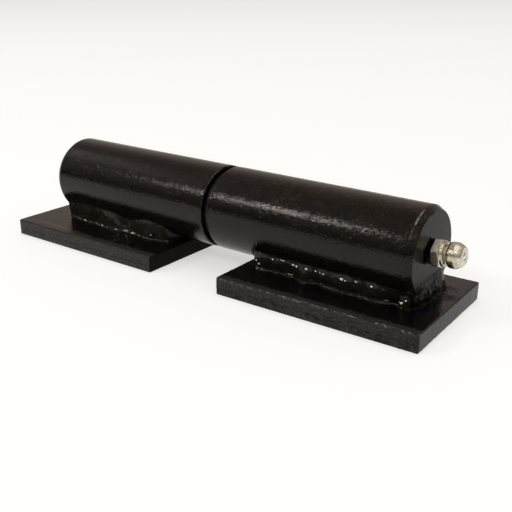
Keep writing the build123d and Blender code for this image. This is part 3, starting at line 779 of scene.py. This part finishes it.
def enamel(name, dark, brown, brown_amount, rough=(0.10, 0.19), grain=0.055, streak=0.020, orange=0.016, ior=1.34,
           tint=(1.0, 0.91, 0.80), edge=None, scratch=False, nibs=0.0, mottle_and_toplight=None, rings=(), arcs=None):
    """Glossy black enamel with a brown cast where it is thin, over slightly rough steel.
    edge: (centre, turn, half width, margin width, margin colour, roughness of the sheared face, levels of the light
    dashes along the top front edge, which are partly chipped paint and partly painted highlight).
    rings: light bands round a barrel on its upper front, partly rubbed paint and partly painted highlight: (x, half
    width, angle up from the front, spread, colour, noise level)."""
    m, nt, b, co = material(name)
    patch = nz(nt, co, 9.0, 4.0, 0.6, distort=0.6)
    small = nz(nt, co, 1.3, 3.0, 0.6, offset=(3.1, 7.7, 1.3))
    thin = rng(nt, calc(nt, "ADD", calc(nt, "MULTIPLY", patch, 0.55), calc(nt, "MULTIPLY", small, 0.45)), 0.42, 0.60, 0.0, 1.0)
    thin = calc(nt, "MULTIPLY", thin, brown_amount)
    col = mix(nt, thin, dark, brown)
    cool = rng(nt, nz(nt, co, 6.0, 2.0, 0.5, offset=(11.0, 2.0, 5.0)), 0.52, 0.68, 0.0, 0.5)
    col = mix(nt, cool, col, (dark[0] * 1.1, dark[1] * 1.05, dark[2] * 2.2))
    # Brown mottle: patchy tone, but laid mostly on the upper side where the top light falls, so partly painted light.
    if mottle_and_toplight:
        painted_toplight = rng(nt, calc(nt, "SUBTRACT", along(nt, co, (0, 0, 1)), AX[2]), 2.5, 8.0, 0.0, 1.0)
        wide = rng(nt, nz(nt, co, 13.0, 3.0, 0.6, stretch=(0.6, 1, 1), offset=(1.0, 6.0, 2.0)), 0.40, 0.62, 0.15, 1.0)
        spots = rng(nt, nz(nt, co, 1.7, 4.0, 0.70, stretch=(0.55, 1, 1), distort=0.4, offset=(8.0, 3.0, 6.0)), 0.48, 0.66, 0.0, 1.0)
        col = mix(nt, calc(nt, "MULTIPLY", calc(nt, "MULTIPLY", spots, wide), rng(nt, painted_toplight, 0.0, 1.0, 0.10, 1.0)), col, mottle_and_toplight)
        # Light specks on the upper side only: painted glints.
        painted_glints = rng(nt, nz(nt, co, 0.75, 3.0, 0.65, offset=(5.0, 12.0, 1.0)), 0.61, 0.72, 0.0, 0.8)
        col = mix(nt, calc(nt, "MULTIPLY", painted_glints, painted_toplight), col, (0.050, 0.040, 0.033))
    r = rng(nt, nz(nt, co, 2.4, 4.0, 0.65, offset=(1.0, 9.0, 4.0)), 0.35, 0.68, rough[0], rough[1])
    b.inputs["IOR"].default_value = ior
    b.inputs["Specular Tint"].default_value = (*tint, 1)
    h1 = nz(nt, co, 0.50, 2.0, 0.5)
    h2 = nz(nt, co, 1.0, 3.0, 0.55, stretch=(0.14, 1, 1), offset=(5.0, 1.0, 2.0))
    h3 = nz(nt, co, 3.0, 2.0, 0.5, offset=(2.0, 3.0, 8.0))
    n = bump(nt, h3, orange)
    n = bump(nt, nz(nt, co, 1.05, 1.0, 0.4, offset=(6.0, 9.0, 2.0)), 0.050 if mottle_and_toplight else 0.030, under=n)
    if streak:
        n = bump(nt, h2, streak, under=n)
    n = bump(nt, h1, grain, under=n)
    if nibs:
        dots = rng(nt, nz(nt, co, 0.62, 1.0, 0.4, offset=(3.0, 3.0, 5.0)), 0.60, 0.80, 0.0, 1.0)
        zone = rng(nt, nz(nt, co, 7.0, 2.0, 0.5, offset=(1.0, 4.0, 9.0)), 0.42, 0.60, 0.15, 1.0)
        n = bump(nt, calc(nt, "MULTIPLY", dots, zone), nibs, under=n)
    # Light bands round the barrel's edges, on the upper front only: painted highlight, partly rubbed paint.
    for xc, half, up, spread, rcol, level in rings:
        wob = calc(nt, "MULTIPLY", calc(nt, "SUBTRACT", nz(nt, co, 1.6, 2.0, 0.5, offset=(4.0, 7.0, 1.0)), 0.5), 0.5)
        off = calc(nt, "ABSOLUTE", calc(nt, "SUBTRACT", calc(nt, "ADD", along(nt, co, (1, 0, 0)), wob), xc))
        way = (0.0, -math.cos(math.radians(up)), math.sin(math.radians(up)))
        out = calc(nt, "SUBTRACT", along(nt, co, way), way[1] * AX[1] + way[2] * AX[2])
        on = calc(nt, "MULTIPLY", rng(nt, off, half * 0.5, half, 1.0, 0.0), rng(nt, out, R * math.cos(math.radians(spread)), R * math.cos(math.radians(spread - 8)), 0.0, 1.0))
        on = calc(nt, "MULTIPLY", on, rng(nt, nz(nt, co, 1.0, 3.0, 0.6, offset=(2.0, 5.0, 5.0)), level, level + 0.10, 0.0, 1.0))
        col = mix(nt, on, col, rcol)
    if edge:
        centre, turn, half, width, mcol, shear, chip_and_glint_levels = edge
        back = (-math.sin(turn), math.cos(turn), 0.0)
        c0 = back[0] * centre[0] + back[1] * centre[1] - half        # the front face, mm along back
        s = calc(nt, "SUBTRACT", along(nt, co, back), c0)
        ragged = calc(nt, "MULTIPLY", calc(nt, "SUBTRACT", nz(nt, co, 2.2, 4.0, 0.65, offset=(6.0, 6.0, 1.0)), 0.5), 2.6)
        marg = rng(nt, calc(nt, "ADD", s, ragged), width * 0.72, width * 1.15, 1.0, 0.0)
        z = along(nt, co, (0, 0, 1))
        face = rng(nt, s, 0.42, 0.70, 1.0, 0.0)
        topside = calc(nt, "MULTIPLY", marg, rng(nt, s, 0.0, 0.3, 0.25, 1.0))
        speck = rng(nt, nz(nt, co, 0.7, 3.0, 0.6, offset=(9.0, 2.0, 2.0)), 0.35, 0.65, 0.45, 1.25)
        col = mix(nt, calc(nt, "MULTIPLY", topside, speck), col, mcol)
        r = calc(nt, "ADD", r, calc(nt, "MULTIPLY", marg, 0.16))
        torn = rng(nt, z, 1.7, 2.4, 1.0, 0.45)
        fine = nz(nt, co, 0.62, 3.0, 0.6, stretch=(0.8, 1, 1), offset=(2.0, 8.0, 3.0))
        n = bump(nt, calc(nt, "MULTIPLY", calc(nt, "MULTIPLY", fine, face), torn), shear, under=n)
        n = bump(nt, calc(nt, "MULTIPLY", nz(nt, co, 0.55, 3.0, 0.6, offset=(1.0, 5.0, 7.0)), topside), 0.07, under=n)
        # Light grey dashes along the top front edge: partly chipped paint, partly painted highlight.
        rim = calc(nt, "MULTIPLY", rng(nt, s, 0.40, 0.62, 1.0, 0.0), rng(nt, z, PLATE_T - 0.62, PLATE_T - 0.34, 0.0, 1.0))
        chips_and_glints = rng(nt, nz(nt, co, 0.60, 3.0, 0.65, stretch=(0.6, 1, 1), offset=(7.0, 7.0, 2.0)), chip_and_glint_levels[0], chip_and_glint_levels[1], 0.0, 1.0)
        chips_and_glints = calc(nt, "MULTIPLY", rim, chips_and_glints)
        col = mix(nt, chips_and_glints, col, (0.150, 0.145, 0.140))
        dust = calc(nt, "MULTIPLY", rng(nt, nz(nt, co, 0.55, 3.0, 0.65, offset=(3.0, 1.0, 6.0)), 0.50, 0.66, 0.0, 0.9), face)
        col = mix(nt, dust, col, (0.030, 0.025, 0.026))
        pits = calc(nt, "MULTIPLY", rng(nt, nz(nt, co, 0.9, 3.0, 0.65, offset=(4.0, 4.0, 8.0)), 0.34, 0.46, 1.0, 0.0), calc(nt, "MULTIPLY", face, torn))
        n = bump(nt, calc(nt, "SUBTRACT", 1.0, pits), shear * 0.9, under=n)
        line_h = calc(nt, "ADD", calc(nt, "MULTIPLY", calc(nt, "SUBTRACT", nz(nt, co, 8.0, 3.0, 0.6, stretch=(1, 0.01, 0.01), offset=(0.0, 2.0, 1.0)), 0.5), 3.2), PLATE_T * 0.44)
        crack = rng(nt, calc(nt, "ABSOLUTE", calc(nt, "SUBTRACT", z, line_h)), 0.08, 0.24, 1.0, 0.0)
        crack = calc(nt, "MULTIPLY", calc(nt, "MULTIPLY", crack, face), rng(nt, nz(nt, co, 3.0, 2.0, 0.5, stretch=(1, 0.01, 0.01), offset=(5.0, 2.0, 1.0)), 0.42, 0.52, 0.0, 1.0))
        n = bump(nt, calc(nt, "SUBTRACT", 1.0, crack), shear * 1.6, under=n)
        q = nz(nt, co, 2.6, 3.0, 0.55, stretch=(0.36, 1, 1.2), distort=0.9, offset=(1.0, 2.0, 12.0))
        veins = rng(nt, calc(nt, "ABSOLUTE", calc(nt, "SUBTRACT", q, 0.5)), 0.010, 0.034, 1.0, 0.0)
        where = calc(nt, "MULTIPLY", face, rng(nt, nz(nt, co, 4.5, 2.0, 0.5, offset=(9.0, 9.0, 3.0)), 0.42, 0.54, 0.0, 1.0))
        where = calc(nt, "MULTIPLY", where, rng(nt, z, 3.6, 4.4, 1.0, 0.15))
        n = bump(nt, calc(nt, "SUBTRACT", 1.0, calc(nt, "MULTIPLY", veins, where)), shear * 0.8, under=n)
        if arcs:
            ex, ey = (math.cos(turn), math.sin(turn), 0.0), (-math.sin(turn), math.cos(turn), 0.0)
            cx = ex[0] * centre[0] + ex[1] * centre[1] + arcs[0]
            cy = ey[0] * centre[0] + ey[1] * centre[1] + arcs[1]
            u, v = calc(nt, "SUBTRACT", along(nt, co, ex), cx), calc(nt, "SUBTRACT", along(nt, co, ey), cy)
            far = calc(nt, "SQRT", calc(nt, "ADD", calc(nt, "MULTIPLY", u, u), calc(nt, "MULTIPLY", v, v)))
            far = calc(nt, "ADD", far, calc(nt, "MULTIPLY", nz(nt, co, 3.5, 2.0, 0.5, offset=(3.0, 3.0, 9.0)), 1.6))
            wave = calc(nt, "SINE", calc(nt, "MULTIPLY", far, 2 * math.pi / 1.25))
            zone = calc(nt, "MULTIPLY", rng(nt, far, 2.0, 3.0, 0.0, 1.0), rng(nt, far, 5.6, 7.2, 1.0, 0.0))
            zone = calc(nt, "MULTIPLY", zone, calc(nt, "MULTIPLY", rng(nt, u, -0.8, 1.0, 0.0, 1.0), rng(nt, z, PLATE_T - 0.6, PLATE_T - 0.3, 0.0, 1.0)))
            n = bump(nt, calc(nt, "MULTIPLY", wave, zone), 0.11, under=n)
        if scratch:
            line = calc(nt, "ABSOLUTE", calc(nt, "SUBTRACT", calc(nt, "ADD", s, calc(nt, "MULTIPLY", ragged, 0.35)), width + 0.25))
            x = along(nt, co, (math.cos(turn), math.sin(turn), 0.0))
            span = calc(nt, "MULTIPLY", rng(nt, x, -69.5, -66.0, 0.0, 1.0), rng(nt, x, -52.0, -46.0, 1.0, 0.0))
            red = calc(nt, "MULTIPLY", rng(nt, line, 0.15, 0.55, 1.0, 0.0), span)
            col = mix(nt, red, col, (0.055, 0.022, 0.018))
    nt.links.new(col, b.inputs["Base Color"])
    nt.links.new(r, b.inputs["Roughness"])
    nt.links.new(n, b.inputs["Normal"])
    return m


M_bar = enamel("black_enamel_bar", (0.0022, 0.0018, 0.0016), (0.0066, 0.0042, 0.0027), 0.9, rough=(0.09, 0.18), grain=0.055, streak=0.020,
               nibs=0.060, mottle_and_toplight=(0.0260, 0.0140, 0.0095),
               # The band at the nipple end's chamfer is a painted highlight; the two at the gap are partly rubbed paint
               # and partly painted highlight.
               rings=[(AX[0] + X_OUT - 1.72, 0.26, 59, 20, (0.17, 0.16, 0.15), 0.40), (AX[0] - HALF_GAP - 0.20, 0.22, 34, 75, (0.045, 0.038, 0.026), 0.46),
                      (AX[0] + HALF_GAP + 0.22, 0.20, 50, 60, (0.045, 0.038, 0.028), 0.50)])
# A copy of the barrel enamel with weaker reflection for the end faces: painted shade.
M_end = enamel("black_enamel_end", (0.0020, 0.0018, 0.0016), (0.0060, 0.0040, 0.0026), 0.8, rough=(0.09, 0.20), grain=0.040, streak=0.0, ior=1.16)
M_plate_p = enamel("black_enamel_pin_plate", (0.0024, 0.0022, 0.0024), (0.0060, 0.0042, 0.0034), 0.6, rough=(0.10, 0.22), streak=0.0, grain=0.045,
                   tint=(1.0, 0.95, 0.91), edge=(PIN_PLATE, TURN_PIN, PLATE_W / 2, 2.9, (0.034, 0.029, 0.025), 0.24, (0.64, 0.72)), scratch=True, nibs=0.03)
M_plate_s = enamel("black_enamel_socket_plate", (0.0024, 0.0022, 0.0024), (0.0060, 0.0042, 0.0034), 0.6, rough=(0.10, 0.22), streak=0.0, grain=0.050,
                   tint=(1.0, 0.95, 0.92), edge=(SOCKET_PLATE, TURN_SOCKET, PLATE_W / 2, 2.5, (0.034, 0.029, 0.026), 0.75, (0.50, 0.59)), nibs=0.03, arcs=(24.4, 7.2))
# Copies of the plate enamel with weaker reflection for the plate ends: painted shade.
M_plate_end = enamel("black_enamel_plate_end", (0.0022, 0.0020, 0.0020), (0.0060, 0.0042, 0.0034), 0.6, rough=(0.12, 0.24), streak=0.0, grain=0.060,
                     tint=(1.0, 0.95, 0.92), ior=1.20)
M_plate_end_p = enamel("black_enamel_pin_plate_end", (0.0020, 0.0020, 0.0020), (0.0050, 0.0040, 0.0034), 0.6, rough=(0.12, 0.24), streak=0.0, grain=0.060, ior=1.13)
M_weld = enamel("black_enamel_weld", (0.0075, 0.0062, 0.0050), (0.0200, 0.0155, 0.0105), 0.8, rough=(0.05, 0.13), streak=0.0, grain=0.022)
M_weld_p = enamel("black_enamel_pin_weld", (0.0110, 0.0088, 0.0062), (0.0250, 0.0190, 0.0120), 0.8, rough=(0.05, 0.13), streak=0.0, grain=0.022, ior=1.27)
# A darker copy of the weld enamel with weaker reflection: painted shade, on the end of the socket weld and on the
# nipple's shank.
M_painted_shade_enamel = enamel("black_enamel_painted_shade", (0.0040, 0.0034, 0.0026), (0.0110, 0.0090, 0.0060), 0.8, rough=(0.06, 0.15), streak=0.0, grain=0.025, ior=1.15)


def metal(name, col, col2, rough, turned=0.0, grain=0.006, size=0.8, stain=None):
    m, nt, b, co = material(name)
    f = rng(nt, nz(nt, co, size * 3, 4.0, 0.6, distort=0.4), 0.38, 0.66, 0, 1)
    base = mix(nt, f, col, col2)
    if stain:
        dark = rng(nt, nz(nt, co, 0.50, 3.0, 0.7, offset=(2, 6, 1)), 0.58, 0.70, 0.0, 0.80)
        base = mix(nt, dark, base, stain)
    nt.links.new(base, b.inputs["Base Color"])
    b.inputs["Metallic"].default_value = 1.0
    nt.links.new(rng(nt, nz(nt, co, size, 3.0, 0.6, offset=(4, 4, 4)), 0.3, 0.7, rough[0], rough[1]), b.inputs["Roughness"])
    n = bump(nt, nz(nt, co, size * 0.5, 3.0, 0.6, offset=(7, 1, 3)), grain)
    if turned:
        n = bump(nt, nz(nt, co, 0.25, 2.0, 0.5, stretch=(1, 0.05, 0.05)), turned, under=n)
    nt.links.new(n, b.inputs["Normal"])
    return m


M_zinc = metal("zinc_plate_yellowish", (0.70, 0.67, 0.55), (0.47, 0.43, 0.32), (0.17, 0.36), turned=0.012, grain=0.038, size=0.45, stain=(0.16, 0.14, 0.09))
# Copies of the zinc for the hex flanks: darker where they face down and forwards, painted shade; lighter and rougher
# where they face up and forwards, painted light.
M_zinc_shaded_flank = metal("zinc_plate_painted_shade", (0.30, 0.285, 0.26), (0.17, 0.16, 0.15), (0.24, 0.40), grain=0.030, size=0.45, stain=(0.08, 0.07, 0.06))
M_zinc_lit_flank = metal("zinc_plate_painted_light", (0.78, 0.745, 0.62), (0.56, 0.52, 0.40), (0.42, 0.60), grain=0.050, size=0.50, stain=(0.16, 0.14, 0.09))
M_ball = metal("polished_steel", (0.80, 0.80, 0.78), (0.72, 0.71, 0.69), (0.06, 0.14), grain=0.001)
M_ground = metal("ground_steel", (0.56, 0.55, 0.53), (0.47, 0.46, 0.44), (0.20, 0.34), turned=0.005, grain=0.002)
M_bronze = metal("turned_bronze", (0.62, 0.42, 0.20), (0.48, 0.31, 0.15), (0.25, 0.40), turned=0.006, grain=0.003)
M_spring = metal("spring_wire", (0.42, 0.41, 0.40), (0.33, 0.32, 0.31), (0.25, 0.40), grain=0.002)
M_washer = enamel("black_painted_washer", (0.0040, 0.0034, 0.0030), (0.030, 0.022, 0.016), 0.8, rough=(0.35, 0.6))


def put(o, mat):
    if not o.data.materials:
        o.data.materials.append(mat)
    for s in o.material_slots:
        s.link = "OBJECT"
        s.material = mat


for ob, mat, body, slot, gone in (
        (pin_barrel, M_bar, "pin_half", "black_enamel", ["pin_barrel"]),
        (socket_barrel, M_bar, "socket_half", "black_enamel", ["socket_barrel"]),
        (pin_plate, M_plate_p, "pin_half", "black_enamel", ["pin_plate"]),
        (socket_plate, M_plate_s, "socket_half", "black_enamel", ["socket_plate"]),
        (nipple_body, M_zinc, "socket_half", "zinc_plate", ["nipple_body"]),
        (pin_front_weld, M_weld_p, "pin_half", "weld_enamel", ["pin_front_weld"]),
        (pin_back_weld, M_weld, "pin_half", "weld_enamel", ["pin_back_weld"]),
        (socket_weld, M_weld, "socket_half", "weld_enamel", ["socket_front_weld", "socket_back_weld", "socket_end_weld"])):
    ob.data.materials.clear()
    ob.data.materials.append(mat)
    # Faces turned along the hinge axis take the copy with weaker reflection: painted shade, for the shadowed floor they
    # mirror.
    shaded_copy = {M_bar.name: M_end, M_plate_p.name: M_plate_end_p, M_plate_s.name: M_plate_end}.get(mat.name)
    if shaded_copy is not None:
        ob.data.materials.append(shaded_copy)
        nor = np.zeros(len(ob.data.polygons) * 3, np.float32)
        ob.data.polygons.foreach_get("normal", nor)
        ob.data.polygons.foreach_set("material_index", (np.abs(nor.reshape(-1, 3)[:, 0]) > 0.80).astype(np.int32))
    if ob is nipple_body:
        ob.data.materials.append(M_zinc_shaded_flank)
        ob.data.materials.append(M_painted_shade_enamel)
        ob.data.materials.append(M_zinc_lit_flank)
        n = len(ob.data.polygons)
        nor, mid = np.zeros(n * 3, np.float32), np.zeros(n * 3, np.float32)
        ob.data.polygons.foreach_get("normal", nor)
        ob.data.polygons.foreach_get("center", mid)
        nor, mid = nor.reshape(-1, 3), mid.reshape(-1, 3) / MM
        out = mid[:, 0] - AX[0] - X_OUT
        # Flanks facing down take the shaded zinc, flanks facing up the lit zinc, and the shank by the end face the dark
        # enamel: painted shade and painted light.
        kind = ((out < 3.0) & (nor @ np.array([0.0, -0.985, -0.17]) > 0.93)).astype(np.int32)
        kind[(out < 3.0) & (nor @ np.array([0.0, -0.63, 0.777]) > 0.93)] = 3
        kind[out < 0.79] = 2
        ob.data.polygons.foreach_set("material_index", kind)
    # The end of the socket weld takes the darker copy: painted shade.
    if ob is socket_weld:
        ob.data.materials.append(M_painted_shade_enamel)
        mid = np.zeros(len(ob.data.polygons) * 3, np.float32)
        ob.data.polygons.foreach_get("center", mid)
        ob.data.polygons.foreach_set("material_index", (mid.reshape(-1, 3)[:, 0] / MM > AX[0] + 64.9).astype(np.int32))
    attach(ob, body)
    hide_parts(*gone)

put(nodes["hinge_pin"], M_ground)
put(nodes["thrust_washer"], M_washer)
put(nodes["socket_bush"], M_bronze)
put(nodes["nipple_ball"], M_ball)
put(nodes["nipple_spring"], M_spring)

# ------------------------------------------------------------ studio
def floor_material():
    m, nt, b, co = material("pale_floor")
    b.inputs["Base Color"].default_value = (0.64, 0.64, 0.64, 1)
    b.inputs["Roughness"].default_value = 0.9
    b.inputs["Emission Color"].default_value = (1, 1, 1, 1)
    b.inputs["Emission Strength"].default_value = 0.50
    return m


me = bpy.data.meshes.new("floor")
s = 6.0
me.from_pydata([(-s, -s, 0), (s, -s, 0), (s, s, 0), (-s, s, 0)], [], [(0, 1, 2, 3)])
floor = bpy.data.objects.new("floor", me)
bpy.context.scene.collection.objects.link(floor)
floor.data.materials.append(floor_material())

world = bpy.data.worlds.new("studio")
bpy.context.scene.world = world
world.use_nodes = True
wt = world.node_tree
bg = wt.nodes["Background"]
tc = wt.nodes.new("ShaderNodeTexCoord").outputs["Generated"]
sep = wt.nodes.new("ShaderNodeSeparateXYZ")
wt.links.new(tc, sep.inputs[0])
behind = ramp(wt, sep.outputs[2], [(0.0, (0.34,)), (0.14, (0.41,)), (0.30, (0.52,)), (0.80, (0.50,)), (0.92, (0.32,)), (1.0, (0.30,))])
before = ramp(wt, sep.outputs[2], [(0.0, (0.05,)), (0.10, (0.07,)), (0.19, (0.19,)), (0.27, (0.31,)), (0.34, (0.35,)), (0.60, (0.44,)), (0.85, (0.44,)), (0.94, (0.30,)), (1.0, (0.30,))])
behind = mix(wt, 1.0, behind, (1.0, 0.86, 0.74), "MULTIPLY")
before = mix(wt, 1.0, before, (1.0, 0.94, 0.88), "MULTIPLY")
up = mix(wt, rng(wt, sep.outputs[1], -0.25, 0.20, 1.0, 0.0), behind, before)
dot = wt.nodes.new("ShaderNodeVectorMath")
dot.operation = "DOT_PRODUCT"
wt.links.new(tc, dot.inputs[0])
dot.inputs[1].default_value = (-0.731, 0.295, 0.616)
dim = ramp(wt, calc(wt, "MULTIPLY", calc(wt, "ADD", dot.outputs["Value"], 1.0), 0.5),
           [(0.0, (1.0,)), (0.925, (1.0,)), (0.975, (0.82,)), (0.9925, (0.58,)), (1.0, (0.54,))])
wt.links.new(mix(wt, 1.0, up, dim, "MULTIPLY"), bg.inputs["Color"])
bg.inputs["Strength"].default_value = 1.0


def area(name, at, to, w, h, power, col=(1, 1, 1), spin=0.0):
    L = bpy.data.lights.new(name, "AREA")
    L.shape = "RECTANGLE"
    L.size, L.size_y = w, h
    L.energy = power
    L.color = col
    o = bpy.data.objects.new(name, L)
    bpy.context.scene.collection.objects.link(o)
    o.location = at
    q = (Vector(to) - Vector(at)).to_track_quat("-Z", "Y")
    o.rotation_mode = "QUATERNION"
    o.rotation_quaternion = q
    o.visible_camera = False
    return o


centre = Vector((0.0, 0.0, 0.018))
area("overhead", (0.3, 0.1, 2.6), (0.3, 0.1, 0), 1.8, 2.2, 17)
# long tube beside the camera, parallel to the hinge axis
tube = area("tube", (-0.845, -1.0, 0.018 + 0.875), (-0.845, 0.0, 0.018), 0.35, 0.055, 3.45)


def polar(az, el, dist):
    """A place round the part: az 0 is straight in front (-Y), 90 is +X."""
    a, e = math.radians(az), math.radians(el)
    return centre + Vector((math.sin(a) * math.cos(e), -math.cos(a) * math.cos(e), math.sin(e))) * dist


area("left_softbox", polar(-79, 39.5, 1.5), centre, 0.62, 0.22, 0.27)
area("right_softbox", polar(22, 46, 1.3), centre, 1.15, 0.42, 3.4, col=(1.0, 0.97, 0.92))

# ------------------------------------------------------------ camera
cam_data = bpy.data.cameras.new("camera")
cam = bpy.data.objects.new("camera", cam_data)
bpy.context.scene.collection.objects.link(cam)
cam_data.sensor_width = 36.0
cam_data.lens = 751.588 / 512 * 36.0
yaw, pitch, roll = math.radians(37.031), math.radians(20.771), math.radians(0.24)
d = Vector((-math.sin(yaw) * math.cos(pitch), math.cos(yaw) * math.cos(pitch), -math.sin(pitch)))
r = Vector((math.cos(yaw), math.sin(yaw), 0))
u = r.cross(d)
r2, u2 = math.cos(roll) * r + math.sin(roll) * u, -math.sin(roll) * r + math.cos(roll) * u
cam.matrix_world = Matrix(((r2.x, u2.x, -d.x, 0.13840), (r2.y, u2.y, -d.y, -0.16847), (r2.z, u2.z, -d.z, 0.08516), (0, 0, 0, 1)))
cam_data.clip_start, cam_data.clip_end = 0.005, 50
bpy.context.scene.camera = cam
bpy.context.scene.view_settings.view_transform = "Standard"
